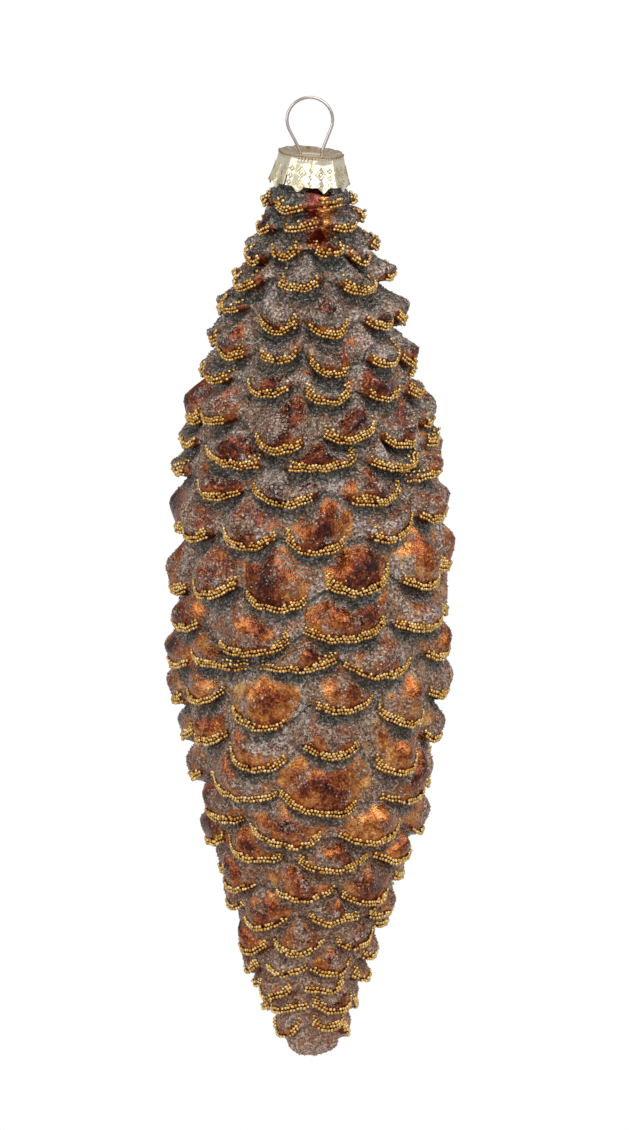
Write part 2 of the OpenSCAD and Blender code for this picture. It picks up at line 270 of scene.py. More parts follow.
# How far the root lies below the lip, and how much more where the ledge is deepest
ROOT_SINK, ROOT_DROP = 0.15, 0.4
# The relief of the scales is whole at this radius and in tiers of this height
WHOLE_RADIUS, TALL = 16, 5
# Share of a tier's height over which a scale rises to its lip: on its keel, and how much more beside it
KEEL_REACH, FLANK_REACH = 0.46, 0.5
# Widths of the keel and of the dimple, as shares of a scale, and the dimple's place down it, height and depth
KEEL_WIDTH, DIMPLE_WIDTH, DIMPLE_DOWN, DIMPLE_HEIGHT, DIMPLE_DEPTH = 0.11, 0.13, 0.55, 0.2, 0.35
# The lowest share of a face flares out to its lip by this much
FLARE_SHARE, FLARE = 0.25, 0.25
# The shade of a lip is full down to this far below its root, and gone this much lower
SHADE_DROP, SHADE_FADE = 1.4, 1.8


def read_cone(undercut):
    """Lines of every tier, sampled on TURNS: the root it grows from, its lip, and its own root below."""
    sizes = neck_sizes()
    lean = np.sin(np.radians(TURNS)) * sizes["tilt"]
    top_r = np.full(SAMPLES, sizes["shoulder"])
    top_z = sizes["shoulder_z"] - sizes["shoulder"] * lean
    over = np.ones(SAMPLES)
    tiers = []
    for number, node in enumerate(TIER_NODES):
        turns, places, radii, heights = (np.array(part) for part in zip(*read_lips(node, sizes["axis"])))
        count = len(turns) // COLUMNS
        lip_r = lip_curve(turns, radii, TURNS)
        waver = np.array([
            noise.noise(Vector((math.sin(a) * r / WAVE, math.cos(a) * r / WAVE, TIER_SHIFT * number)))
            for a, r in zip(np.radians(TURNS), lip_r)
        ])
        lip_z = np.minimum(lip_curve(turns, heights, TURNS) + WAVER * waver, top_z - LEAST_DROP)
        x, y = np.append(turns, turns[0] + 360), np.append(places, places[0] + count)
        place = np.interp((TURNS - x[0]) % 360 + x[0], x, y)
        scale = np.floor(place + 0.5)
        drop = top_z - lip_z
        grown = ease(drop / WHOLE_DROP)
        lip_r = top_r + (lip_r - top_r) * grown
        middle = np.sort(radii)[len(radii) // 2:].mean()
        relief = min(undercut / MM, MOST_UNDERCUT * middle)
        ledge = np.maximum(LEAST_LEDGE, relief + LEDGE_FADE * np.minimum(0, lip_r - middle))
        ledge = ledge * (0.25 + 0.75 * grown)
        root_r = lip_r - ledge
        root_z = lip_z - ROOT_SINK - ROOT_DROP * ledge / relief
        tiers.append(dict(
            number=number, count=count, across=place - scale, scale=scale % count, top_r=top_r, top_z=top_z,
            lip_r=lip_r, lip_z=lip_z, drop=drop, over=over, root_r=root_r, root_z=root_z, grown=grown,
        ))
        top_r, top_z, over = root_r, root_z, ease(ledge / relief)
    return sizes, tiers


def scale_habit(tier, turn):
    """Where points lie across their scale, from -0.5 to 0.5, and the traits drawn for each scale."""
    column = (np.round(np.asarray(turn) / 360 * SAMPLES) % SAMPLES).astype(int)
    scale = tier["scale"][column]

    def drawn(seed, spread):
        return spread * (chance(tier["number"], scale, seed) - 0.5)

    return dict(
        across=tier["across"][column], keel=drawn(3, 0.26), size=1 + drawn(5, 0.5), dimple=drawn(7, 0.5),
        gold=drawn(11, 0.2), open=drawn(13, 0.65), side=drawn(17, 0.5),
    )


def face_point(tier, turn, down, settings):
    """Radius and height on a tier's face: down is 0 at the root above and 1 at the lip."""
    top_r, top_z, lip_r, lip_z, over = on_turns(tier, turn, "top_r", "top_z", "lip_r", "lip_z", "over")
    drop = np.maximum(top_z - (lip_z + settings.edge_round / MM), 0.05)
    habit = scale_habit(tier, turn)
    across = habit["across"]
    small = min(1.0, np.median(tier["lip_r"]) / WHOLE_RADIUS)
    tall = np.clip(drop / TALL, 0, 1)
    side = np.clip(1 - (2 * across) ** 2, 0, 1)
    # A scale's keel reaches high up under the lip above, and its flanks fall to the valleys beside it
    start = np.minimum(1.0, 0.2 * drop) * over
    reach = np.minimum(drop * (KEEL_REACH + FLANK_REACH * (1 - side)), drop - start)
    rise = ease((down * drop - start) / reach)
    hump = np.sin(np.pi * np.clip(down, 0, 1) ** 0.85) * tall
    keel = bell(across - habit["keel"], KEEL_WIDTH)
    dimple = bell(across - habit["dimple"], DIMPLE_WIDTH) * bell(down - DIMPLE_DOWN, DIMPLE_HEIGHT)
    swell = (settings.pillow * habit["size"] * side ** 0.7 + settings.keel * keel * side) / MM
    swell = (swell * hump - DIMPLE_DEPTH * dimple * side * tall) * small
    flare = FLARE * ease((down - 1 + FLARE_SHARE) / FLARE_SHARE) * side * small
    return top_r + (lip_r - flare - top_r) * rise + swell + flare, top_z - drop * down


def tier_rows(tier, turn, settings):
    """Rows down one tier: radius, height, how far each row lies in the shade of a lip, and its way down."""
    edge = settings.edge_round / MM
    rows = []
    drop, over, root_r, root_z = on_turns(tier, turn, "drop", "over", "root_r", "root_z")
    for k in range(1, settings.rows + 1):
        down = k / settings.rows
        shade = (1 - ease((down * drop - SHADE_DROP) / SHADE_FADE)) * (0.15 + 0.85 * over)
        rows.append((*face_point(tier, turn, down, settings), shade, down))
    lip_r, lip_z = rows[-1][0], rows[-1][1] - edge
    nothing, full = np.zeros(len(turn)), np.ones(len(turn))
    # Below the face lie the rounded lip, the ledge under it and the root
    return rows + [
        (lip_r - 0.3 * edge, lip_z + 0.3 * edge, nothing, 1.0),
        (lip_r - edge, lip_z, 0.5 * full, 1.0),
        (lip_r + 0.62 * (root_r - lip_r), lip_z + 0.3 * (root_z - lip_z), full, 1.0),
        (root_r, root_z, full, 0.0),
    ]


# Making meshes and nodes

MATH, MIX, RANGE = "ShaderNodeMath", "ShaderNodeMix", "ShaderNodeMapRange"
RAMP, NOISE, ATTRIBUTE = "ShaderNodeValToRGB", "ShaderNodeTexNoise", "ShaderNodeAttribute"
NAMED, RANDOM = "GeometryNodeInputNamedAttribute", "FunctionNodeRandomValue"


def new_object(name, data):
    """An object in the scene of a bmesh in metres, a mesh, a lamp or a lens."""
    if isinstance(data, bmesh.types.BMesh):
        bm, data = data, bpy.data.meshes.new(name)
        bm.to_mesh(data)
        bm.free()
    made = bpy.data.objects.new(name, data)
    bpy.context.scene.collection.objects.link(made)
    return made


def new_piece(name, mesh, material, slot, *nodes):
    """Makes a finished piece from a mesh or bmesh and ties it to the frame."""
    piece = new_object(name, mesh)
    piece.data.materials.clear()
    piece.data.materials.append(material)
    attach(piece, "root")
    if nodes:
        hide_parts(*nodes)
    return piece


def weld(bm):
    """Merges doubled corners, turns the faces outwards and shades them smooth."""
    bmesh.ops.remove_doubles(bm, verts=bm.verts, dist=0.001 * MM)
    bmesh.ops.recalc_face_normals(bm, faces=bm.faces)
    for face in bm.faces:
        face.smooth = True


def feed(node, *inputs, **named):
    """Feeds enabled inputs in order and others by name, with values, sockets or nodes' first outputs."""
    pairs = list(zip([socket for socket in node.inputs if socket.enabled], inputs))
    pairs += [(node.inputs[name.replace("_", " ")], value) for name, value in named.items()]
    for socket, value in pairs:
        if isinstance(value, bpy.types.Node):
            value = next(output for output in value.outputs if output.enabled)
        if isinstance(value, bpy.types.NodeSocket):
            node.id_data.links.new(value, socket)
        else:
            socket.default_value = value


def add_node(tree, kind, *inputs, **more):
    """Adds a node. Lower-case names set its own fields, and the rest feed its inputs."""
    node = tree.nodes.new(kind)
    for field in [name for name in more if name[0].islower()]:
        setattr(node, field, more.pop(field))
    feed(node, *inputs, **more)
    return node


def linear(code):
    """Linear RGBA of an sRGB hex colour."""
    parts = [int(code[k:k + 2], 16) / 255 for k in (1, 3, 5)]
    return (*(p / 12.92 if p <= 0.04045 else ((p + 0.055) / 1.055) ** 2.4 for p in parts), 1)


def shades(ramp, *stops):
    """Gives a colour ramp its stops, each a place and a hex colour."""
    elements = ramp.color_ramp.elements
    while len(elements) < len(stops):
        elements.new(0.5)
    for element, (place, code) in zip(elements, stops):
        element.position = place
        element.color = linear(code)
    return ramp


def swayed(add, value, *sways):
    """A value that noises from 0 to 1 sway up and down, each by half its weight."""
    for sway, weight in sways:
        swing = add(MATH, sway, weight, -weight / 2, operation="MULTIPLY_ADD")
        value = add(MATH, value, swing, operation="ADD")
    return value


def new_material(name, *attributes):
    """A node material: itself, what adds its nodes, its shader and its mesh attributes."""
    material = bpy.data.materials.new(name)
    material.use_nodes = True
    add = partial(add_node, material.node_tree)
    painted = [add(ATTRIBUTE, attribute_name=name).outputs["Fac"] for name in attributes]
    return material, add, material.node_tree.nodes["Principled BSDF"], *painted


# Materials

GLASS_LOOKS = ("frost", "gold", "shade", "gloss")


def amber_and_tip_light(add, colour, place):
    """A frost's colour, warmer towards the tip, where amber lies under the clear grains, and lighter at the
    tip itself with painted light.
    """
    z = add("ShaderNodeSeparateXYZ", place).outputs["Z"]
    low, tip = (
        add(RANGE, z, start, end, interpolation_type="SMOOTHSTEP")
        for start, end in ((-0.1, -0.15), (-0.15, -0.18))
    )
    amber = add(MIX, low, colour, linear("#f2e2d6"), data_type="RGBA", blend_type="MULTIPLY")
    # Painted light: the tip, which faces down, is lightened
    return add(MIX, tip, amber, linear("#58463d"), data_type="RGBA", blend_type="ADD")


def lacquered_glass():
    """Mould-blown glass, silvered inside and lacquered amber to maroon, with a coat of fine glass frost."""
    material, add, shader, frost, gold, shade, gloss = new_material("silvered_lacquered_glass", *GLASS_LOOKS)
    place = add("ShaderNodeTexCoord").outputs["Object"]
    # Drifts of frost 5 mm across, clouds in the lacquer of 2 mm, dents of 1.2 mm and a grain of 0.5 mm
    drifts, clouds, dents, grain = (
        add(NOISE, Vector=place, Scale=1 / (size * MM), Detail=3.0) for size in (5.0, 2.0, 1.2, 0.5)
    )
    # Grains of frost and pebbles of the lacquer under it, one cell each, 0.36 mm across
    cells = add("ShaderNodeTexVoronoi", feature="F1", Vector=place, Scale=1 / (0.36 * MM))
    one, other = add("ShaderNodeSeparateColor", cells.outputs["Color"]).outputs[:2]

    # The lacquer, dark maroon to gold, and a clear red where it is glossy
    tone = swayed(add, gold, (clouds, 1.1), (grain, 0.7), (other, 0.3))
    lacquer = shades(
        add(RAMP, tone),
        (0.02, "#240b07"), (0.25, "#5f2210"), (0.5, "#994f21"), (0.76, "#c67e3b"), (1.0, "#ebb873"),
    )
    red = add(MATH, gloss, 0.75, operation="MULTIPLY")
    lacquer = add(MIX, red, lacquer, linear("#7d1b0f"), data_type="RGBA")

    # The frost over it: warm and cool drifts where it is lit, and dark grains deep in the valleys, which are
    # painted shade
    warm, cool, deep = (shades(add(RAMP, one), *stops) for stops in (
        ((0.0, "#3c2316"), (0.3, "#7d583f"), (0.7, "#ad876b"), (0.97, "#dfc9b5")),
        ((0.0, "#46352e"), (0.3, "#927d71"), (0.7, "#c5b2a5"), (0.97, "#f3e9e2")),
        ((0.0, "#120f0b"), (0.4, "#3b3730"), (0.75, "#676158"), (0.97, "#a8a399")),
    ))
    drifts = add(RANGE, drifts, 0.47, 0.63, interpolation_type="SMOOTHSTEP")
    light = add(MIX, drifts, warm, cool, data_type="RGBA")
    ground = amber_and_tip_light(add, add(MIX, shade, light, deep, data_type="RGBA"), place)
    cover = swayed(add, frost, (grain, 1.1), (other, 0.4))
    cover = add(RANGE, cover, 0.3, 0.7, interpolation_type="SMOOTHSTEP")

    # Bare lacquer mirrors like metal under its gloss, and frost is matt and gritty
    rough = add(MATH, cover, 0.48, 0.25, operation="MULTIPLY_ADD")
    grit = add(MATH, cover, 0.5, 0.45, operation="MULTIPLY_ADD")
    grit = add(MATH, gloss, -0.4, grit, operation="MULTIPLY_ADD")
    bumps = add(MATH, cells.outputs["Distance"], grain, operation="ADD")
    bumps = add(MATH, bumps, grit, operation="MULTIPLY")
    bumps = add(MATH, dents, 1.6, bumps, operation="MULTIPLY_ADD")
    feed(
        shader,
        Base_Color=add(MIX, cover, lacquer, ground, data_type="RGBA"),
        Metallic=add(MATH, cover, -0.85, 0.85, operation="MULTIPLY_ADD"),
        Roughness=add(MATH, gloss, -0.18, rough, operation="MULTIPLY_ADD"),
        Coat_Weight=add(MATH, gloss, 0.8, 0.2, operation="MULTIPLY_ADD"),
        Coat_Roughness=0.2,
        Normal=add("ShaderNodeBump", Strength=0.7, Distance=0.2 * MM, Height=bumps),
    )
    return material


def frost_glass():
    """Crushed clear glass, glued on: sharp chips from dark, for the lacquer seen through them, to white, a
    painted glint, and darker in the painted shade under the lips.
    """
    material, add, shader, glint, shade = new_material("crushed_clear_glass", "glint", "shade")
    # Painted glints: the lightest chips are near white, and the dim colours are painted shade
    bright, dim = (shades(add(RAMP, glint), *stops) for stops in (
        ((0.0, "#3c271a"), (0.3, "#7e604b"), (0.65, "#b29783"), (0.93, "#dfd0c5"), (1.0, "#fcf8f4")),
        ((0.0, "#15120d"), (0.4, "#3f3a33"), (0.75, "#6b655c"), (0.93, "#9f9a91"), (1.0, "#e0ddd7")),
    ))
    place = add("ShaderNodeTexCoord").outputs["Object"]
    colour = amber_and_tip_light(add, add(MIX, shade, bright, dim, data_type="RGBA"), place)
    feed(shader, Base_Color=colour, Roughness=0.35, IOR=1.5)
    return material


def gold_bead():
    """Glass micro-beads with a vacuum-plated gold coat: bright, slightly satin."""
    material, add, shader, tint = new_material("gold_plated_microbeads", "tint")
    colour = shades(add(RAMP, tint), (0.0, "#b0833f"), (0.5, "#d6ab5f"), (1.0, "#f0d59c"))
    feed(shader, Base_Color=colour, Metallic=1.0, Roughness=0.34)
    return material


def gold_lacquered_sheet():
    """Thin aluminium sheet with a pale gold lacquer, stamped bright, and painted darker brown for shade and
    reflection on its top, in its pleats and along its stamped lines.
    """
    material, add, shader, tan = new_material("pale_gold_lacquered_aluminium", "tan")
    place = add("ShaderNodeTexCoord").outputs["Object"]
    # Draw marks, 0.3 mm apart round the cap and 2.5 mm long, and cloudy lacquer of 2 mm
    marks = add("ShaderNodeMapping", Vector=place, Scale=(1, 1, 0.12))
    fine = add(NOISE, Vector=marks, Scale=1 / (0.3 * MM), Detail=3.0)
    cloud = add(NOISE, Vector=place, Scale=1 / (2 * MM), Detail=2.0)
    colour = shades(add(RAMP, cloud), (0.3, "#d8cda9"), (0.55, "#e4dbc2"), (0.75, "#efe9da"))
    # Painted shade and reflection: the sheet is painted darker brown where this mask is high
    colour = add(MIX, tan, colour, linear("#8d6a37"), data_type="RGBA")
    # Painted shade: the slot for the wire's legs is painted dark and matt, for the shaded inside of the neck
    dark = add(RANGE, tan, 1.15, 1.5, interpolation_type="SMOOTHSTEP")
    rough = add(MATH, fine, 0.1, 0.24, operation="MULTIPLY_ADD")
    feed(
        shader,
        Base_Color=add(MIX, dark, colour, linear("#2b1d10"), data_type="RGBA"),
        Metallic=add(MATH, 1.0, dark, operation="SUBTRACT"),
        Roughness=add(MATH, dark, 0.6, rough, operation="MULTIPLY_ADD"),
        Normal=add("ShaderNodeBump", Strength=0.08, Distance=0.05 * MM, Height=fine),
    )
    return material


def spring_steel():
    """Drawn spring wire, plated bright: a smooth metal with faint clouds in its shine."""
    material, add, shader = new_material("bright_spring_steel")
    place = add("ShaderNodeTexCoord").outputs["Object"]
    # Clouds in the plating, 2.5 mm long
    cloud = add(NOISE, Vector=place, Scale=1 / (2.5 * MM), Detail=1.0)
    # Tarnish darkens the wire where it turns away
    feed(
        shader,
        Base_Color=shades(add(RAMP, cloud), (0.3, "#b9aea9"), (0.7, "#d3cac5")),
        Metallic=1.0,
        Specular_Tint=linear("#6e5c52"),
        Roughness=add(MATH, cloud, 0.08, 0.16, operation="MULTIPLY_ADD"),
    )
    return material


# Scattering


def scatter(name, make_points, shape):
    """A node group that copies a small shape onto points, turned at random and sized by their attribute."""
    group = bpy.data.node_groups.new(name, "GeometryNodeTree")
    for way in ("INPUT", "OUTPUT"):
        group.interface.new_socket("Geometry", in_out=way, socket_type="NodeSocketGeometry")
    add = partial(add_node, group)
    points = make_points(add, add("NodeGroupInput"))
    copies = add(
        "GeometryNodeInstanceOnPoints", Points=points,
        Instance=add("GeometryNodeObjectInfo", shape).outputs["Geometry"],
        Rotation=add(RANDOM, (0, 0, 0), (math.tau,) * 3, data_type="FLOAT_VECTOR"),
        Scale=add(NAMED, "size"),
    )
    add("NodeGroupOutput", add("GeometryNodeRealizeInstances", copies))
    return group


def applied(carrier, group, name):
    """The mesh that a node group makes of an object."""
    modifier = carrier.modifiers.new(name, "NODES")
    modifier.node_group = group
    graph = bpy.context.evaluated_depsgraph_get()
    mesh = bpy.data.meshes.new_from_object(carrier.evaluated_get(graph))
    mesh.name = name
    carrier.modifiers.remove(modifier)
    return mesh


# Operators

# The neck's bore is modelled this far down below the shoulder, in mm
BORE_DEPTH = 4
# How far down the round nub at the tip its rows lie
NUB_ROWS = (0.2, 0.45, 0.68, 0.86, 0.96, 1.0)


class CONE_OT_glass(bpy.types.Operator):
    """Blow the glass cone: one skin from the neck to the tip, with every scale's swell, keel and lip"""

    bl_idname = "cone.glass"
    bl_label = "Glass cone"

    def execute(self, context):
        settings = context.scene.cone_glass
        sizes, tiers = read_cone(settings.undercut)
        columns = settings.columns
        turn = np.arange(columns) * 360 / columns
        nothing, full = np.zeros(columns), np.ones(columns)
        lean = np.sin(np.radians(turn)) * sizes["tilt"]
        bore, neck, shoulder = sizes["bore"], sizes["neck"], sizes["shoulder"]
        mouth, foot = sizes["rim"], sizes["shoulder_z"]
        rows = [
            (nothing, (foot - BORE_DEPTH) * full), (bore * full, (foot - BORE_DEPTH) * full),
            (bore * full, mouth - bore * lean), (neck * full, mouth - neck * lean),
            (neck * full, foot + 0.6 - neck * lean), (shoulder * full, foot - shoulder * lean),
        ]
        rows = [(r, z, full, 0.0, None) for r, z in rows]
        rows += [(*row, tier) for tier in tiers for row in tier_rows(tier, turn, settings)]
        last_r, last_z = rows[-1][:2]
        for step in NUB_ROWS:
            lobes = 0.2 * np.sin(np.radians(5 * turn)) * (1 - step)
            rows.append((
                last_r * math.sqrt(max(0, 1 - step ** 2.4)) + lobes,
                last_z + (sizes["tip_z"] - last_z) * step, nothing, 0.5, tiers[-1],
            ))
        bm = bmesh.new()
        layers = [bm.verts.layers.float.new(name) for name in GLASS_LOOKS]
        bmesh.ops.create_grid(bm, x_segments=columns, y_segments=len(rows) - 1, size=1)
        table = [glass_row(row, turn, sizes["axis"]) for row in rows]
        for vert in bm.verts:
            column = round((vert.co.x + 1) / 2 * columns) % columns
            place, looks = table[round((1 - vert.co.y) / 2 * (len(rows) - 1))]
            vert.co = place[column]
            for layer, look in zip(layers, looks):
                vert[layer] = look[column]
        weld(bm)
        new_piece("glass_cone", bm, lacquered_glass(), "lacquered_glass", GLASS_NODE)
        return {"FINISHED"}


# Drifts and clouds of the frost, in mm across, with a shift between them
BROAD, NEAR, NEAR_SHIFT = 7, 2.6, Vector((31, 17, 5))
# The bare glass under the front of the cap, in mm: how far right, half its width, level and half its height
BARE_ASIDE, BARE_WIDTH, BARE_Z, BARE_HEIGHT = 1.2, 2.8, -20, 7
# The bare patch on each scale: its place across and down, half its width and half its height, in shares
PATCH_ACROSS, PATCH_DOWN, PATCH_WIDTH, PATCH_HEIGHT = 0.05, 0.52, 0.38, 0.46
# Scales at least this large, as a share of the mean, keep frost in the heart of their patch
FROSTED_HEART = 0.95
# A lip is bare from this far down its scale to this far from the scale's middle, softly
LIP_DOWN, LIP_HALF, LIP_SOFT = 0.84, 0.44, 0.1


def glass_row(row, turn, axis):
    """Places in metres of one row of the glass, and its frost, gold, shade and gloss."""
    r, z, shade, down, tier = row
    angle, place = np.radians(turn), ring(turn, r, z, axis)
    broad = np.array([noise.noise(Vector(point) / BROAD) for point in place])
    near = np.array([noise.noise(Vector(point) / NEAR + NEAR_SHIFT) for point in place])
    # The glass is bare below the front of the cap: glossy maroon, and gold on the right
    aside = r * np.sin(angle) - BARE_ASIDE - 1.6 * near
    bare = bell(aside, BARE_WIDTH) * bell(z - BARE_Z, BARE_HEIGHT, 4) * (np.cos(angle) > 0) * (1 + 0.8 * near)
    gloss = ease(1.6 * bare - 0.5) * ease(0.7 - aside)
    # The neck and shoulder under the cap are frosted and in full painted shade, but for the bare glass
    if tier is None:
        return place * MM, (1 - bare, 0 * r, 1 - bare, gloss)
    habit = scale_habit(tier, turn)
    across, number = habit["across"], tier["number"]
    height = min(0.5, number / len(TIER_NODES))
    # How far the top's looks reach down the tiers: dark blotches, and lips bare higher up and golden
    blotched, high = ease((11 - number) / 8), ease((13 - number) / 8)
    # A bare patch on each scale, a little right of its middle, with a dark heart and golden rims
    away = np.hypot(
        (across - PATCH_ACROSS - 0.3 * habit["side"]) / PATCH_WIDTH, (down - PATCH_DOWN) / PATCH_HEIGHT
    )
    frost = 0.76 - 0.75 * (1 - away + habit["open"]) + 0.4 * broad + 0.8 * near
    frost += min(0.12, 1.2 * (0.3 - height)) + 0.3 * ease((number - 15) / 8) - 1.6 * bare
    frost += 0.8 * (habit["size"] > FROSTED_HEART) * bell(away + 0.3 * near, 0.3)
    # The lacquer is darker towards the cap and in the heart of a patch
    gold = 0.14 + 0.5 * away + habit["gold"] + 0.35 * broad - 0.7 * (0.35 - height)
    gold += 0.5 * bare * ease(aside) - 0.05 * ease((number - 14) / 4)
    # The shade under the lips fades towards the tip
    dim = shade * (1 + 0.9 * near) * (1 - 0.9 * bare) * (1 - 0.95 * ease((number - 12) / 11))
    # Towards the top, dark blotches at random are added to the same mask as the painted shade
    dim += 0.65 * blotched * ease(0.4 + 1.5 * near + 0.8 * broad) * (1 - bare)
    lip = 0.9 * ease((down - LIP_DOWN + 0.1 * high) / LIP_SOFT) * ease((LIP_HALF - np.abs(across)) / LIP_SOFT)
    frost = np.clip(np.maximum(frost, shade * (1 - bare)), 0, 1) * (1 - lip)
    # Painted shade: under the beads the lacquer is bare and darkened, for the shade in the gaps between them,
    # and golden towards the top
    gold = np.clip(gold, 0.08, 1) * (1 - 0.8 * lip) + 0.3 * lip * high
    return place * MM, (frost, gold, np.clip(dim, 0, 1), gloss)


# How far a row of beads reaches from a scale's middle: at the top, how much more below, and by chance
ROW_HALF, ROW_GROWTH, ROW_LUCK = 0.39, 0.08, 0.12
# Beads lie this far apart along a row, and rows this far apart, in beads
BEAD_PITCH, ROW_PITCH = 0.98, 0.84
MOST_ROWS = 5
# The clumps at both ends of a row: how many rows more at most, and their length as a share of the lip
CLUMP_ROWS, CLUMP_LENGTH = 2.8, 0.17


class CONE_OT_beads(bpy.types.Operator):
    """Lay the gold beads in a row or two along the lip of every scale, and in clumps at its corners"""

    bl_idname = "cone.beads"
    bl_label = "Bead edging"

    def execute(self, context):
        glass = context.scene.cone_glass
        bead = context.scene.cone_beads.diameter / MM
        sizes, tiers = read_cone(glass.undercut)
        ball = bmesh.new()
        # A ball of so few faces is made a little wider than the bead, and looks as large
        bmesh.ops.create_icosphere(ball, subdivisions=1, radius=0.57 * bead * MM)
        weld(ball)
        shape = new_object("bead", ball)
        group = scatter(
            "Lay beads", lambda add, mesh: add("GeometryNodeMeshToPoints", mesh, mode="VERTICES"), shape
        )
        material = gold_bead()
        for tier, node in zip(tiers, TIER_NODES):
            bm = bmesh.new()
            layers = [bm.verts.layers.float.new(name) for name in ("size", "tint")]
            for point, values in bead_places(tier, sizes["axis"], bead, glass):
                vert = bm.verts.new(point * MM)
                for layer, value in zip(layers, values):
                    vert[layer] = value
            carrier = new_object("places", bm)
            name = f"gold_beads_{node[-2:]}"
            new_piece(name, applied(carrier, group, name), material, "gold_beads", node)
            bpy.data.objects.remove(carrier)
        bpy.data.objects.remove(shape)
        return {"FINISHED"}


def bead_places(tier, axis, bead, glass):
    """Centres of the beads on one tier in mm, each with its size and tint."""
    number = tier["number"]
    places = []
    for scale in range(tier["count"]):
        luck = [float(chance(number, scale, seed)) for seed in (21, 23, 25, 27, 29, 31)]
        widest = ROW_HALF + ROW_GROWTH * float(ease((number - 6) / 8))
        left, right = widest - ROW_LUCK * luck[4], widest - ROW_LUCK * luck[5]
        inside = np.where((tier["scale"] == scale) & (tier["across"] > -left) & (tier["across"] < right))[0]
        if len(inside) < 4:
            continue
        start = inside[np.argmin(tier["across"][inside])]
        turns = TURNS[start] + np.arange(len(inside)) * 360 / SAMPLES
        line = ring(turns, *face_point(tier, turns, 1.0, glass))
        length = np.append(0, np.cumsum(np.linalg.norm(np.diff(line, axis=0), axis=1)))
        for row in range(MOST_ROWS):
            place = np.arange((0.5 * (row % 2) + 0.1) * bead, length[-1], BEAD_PITCH * bead)
            share = place / length[-1]
            k = np.arange(len(place))
            toss = chance(number * 31 + scale, k, row)
            # Rows at each place: one or two along the lip, fewer far down the cone, and a clump at either end
            deep = 1.75 + 0.8 * luck[0] + 0.5 * np.sin(7 * share + 6 * luck[3])
            deep -= 0.8 * ease((number - 11) / 8)
            deep += CLUMP_ROWS * luck[1] ** 2 * bell(share, CLUMP_LENGTH)
            deep += CLUMP_ROWS * luck[2] ** 2 * bell(1 - share, CLUMP_LENGTH)
            turn = np.interp(place + (toss - 0.5) * 0.3 * bead, length, turns)
            drop, grown = on_turns(tier, turn, "drop", "grown")
            # Rows lie a bead apart along the face, so they rise less where the face leans out
            low_r, low_z = face_point(tier, turn, 1.0, glass)
            high_r, high_z = face_point(tier, turn, 0.85, glass)
            steep = (high_z - low_z) / np.hypot(low_r - high_r, high_z - low_z)
            up = (ROW_PITCH * row + 0.1 + 0.3 * (chance(k, row, scale) - 0.4)) * bead * steep
            down = 1 - (up - 0.1) / np.maximum(drop - glass.edge_round / MM, 0.5)
            # A few beads have fallen off, and none lie where the tier is hidden under the one above
            keep = (row < deep - 0.35 + 0.7 * toss) & (down > 0.35) & (toss > 0.04) & (grown > 0.3)
            turn, down, k = turn[keep], np.minimum(down[keep], 1.0), k[keep]
            base_r, base_z = face_point(tier, turn, down, glass)
            near_r, near_z = face_point(tier, turn, down - 0.03, glass)
            slope = np.arctan2(base_r - near_r, near_z - base_z)
            lift = bead * (0.34 + 0.16 * chance(k, scale, row + 40))
            # The lowest row hangs a little below the lip
            out_z = base_z + lift * np.sin(slope) - (0.2 if row == 0 else 0)
            centres = ring(turn, base_r + lift * np.cos(slope), out_z, axis)
            sizes = 0.86 + 0.24 * chance(k, scale, number)
            places += zip(centres, zip(sizes, chance(scale, k, row + 50)))
    return places


# Grains lie below this height under the cap, in metres, and clump in drifts this many mm across
FROST_TOP, GRAIN_DRIFT = -0.0175, 1.1


class CONE_OT_frost(bpy.types.Operator):
    """Sprinkle the crushed glass over the frosted parts of the cone"""

    bl_idname = "cone.frost"
    bl_label = "Frosting"

    def execute(self, context):
        settings = context.scene.cone_frost
        cone = bpy.data.objects["glass_cone"]
        grain, chip = settings.grain, bmesh.new()
        bmesh.ops.create_cone(
            chip, cap_ends=True, segments=3, radius1=0.6 * grain, radius2=0, depth=0.9 * grain
        )
        shape = new_object("chip", chip)
        material = frost_glass()
        for half, name in enumerate(("frosting_upper", "frosting_lower")):
            group = scatter(name, lambda add, mesh: self.grains(add, mesh, settings, half), shape)
            new_piece(name, applied(cone, group, name), material, "lacquered_glass")
        bpy.data.objects.remove(shape)
        return {"FINISHED"}

    def grains(self, add, mesh, settings, half):
        """Points of the grains: thick where the frost is, and on one half of the cone's height."""
        middle = -0.5 * (CAD_BOX[1].z - CAD_BOX[0].z)
        place = add("GeometryNodeInputPosition")
        z = add("ShaderNodeSeparateXYZ", place).outputs["Z"]
        here = add(MATH, z, middle, operation="LESS_THAN" if half else "GREATER_THAN")
        under_cap = add(MATH, z, FROST_TOP, operation="LESS_THAN")
        drift = add(NOISE, Vector=place, Scale=1 / (GRAIN_DRIFT * MM), Detail=2.0)
        amount = add(MATH, add(NAMED, "frost"), drift, operation="ADD")
        # A few grains lie on the bare parts too
        amount = add(RANGE, amount, 0.75, 1.35, 0.06, 1.0)
        for factor in (here, under_cap, settings.density / MM ** 2):
            amount = add(MATH, amount, factor, operation="MULTIPLY")
        points = add(
            "GeometryNodeDistributePointsOnFaces", distribute_method="RANDOM",
            Mesh=mesh, Density=amount, Seed=5 + half,
        )
        # Each grain's size, and its glint, which colours it from dark, for the lacquer seen through it, to
        # white, a painted glint
        for name, low, high, seed in (("size", 0.6, 1.35, half), ("glint", 0.0, 1.0, 9 + half)):
            value = add(RANDOM, low, high, data_type="FLOAT", Seed=seed)
            points = add(
                "GeometryNodeStoreNamedAttribute", data_type="FLOAT", domain="POINT",
                Geometry=points, Name=name, Value=value,
            )
        return points


# Columns of a facet, rows of the top and rows of the skirt
FACET_COLUMNS, TOP_ROWS, SKIRT_ROWS = 40, 30, 56
# Room between the neck and the cap's wall, and between its mouth and the cap's top, in mm
WALL_PLAY, TOP_PLAY = 0.1, 0.05
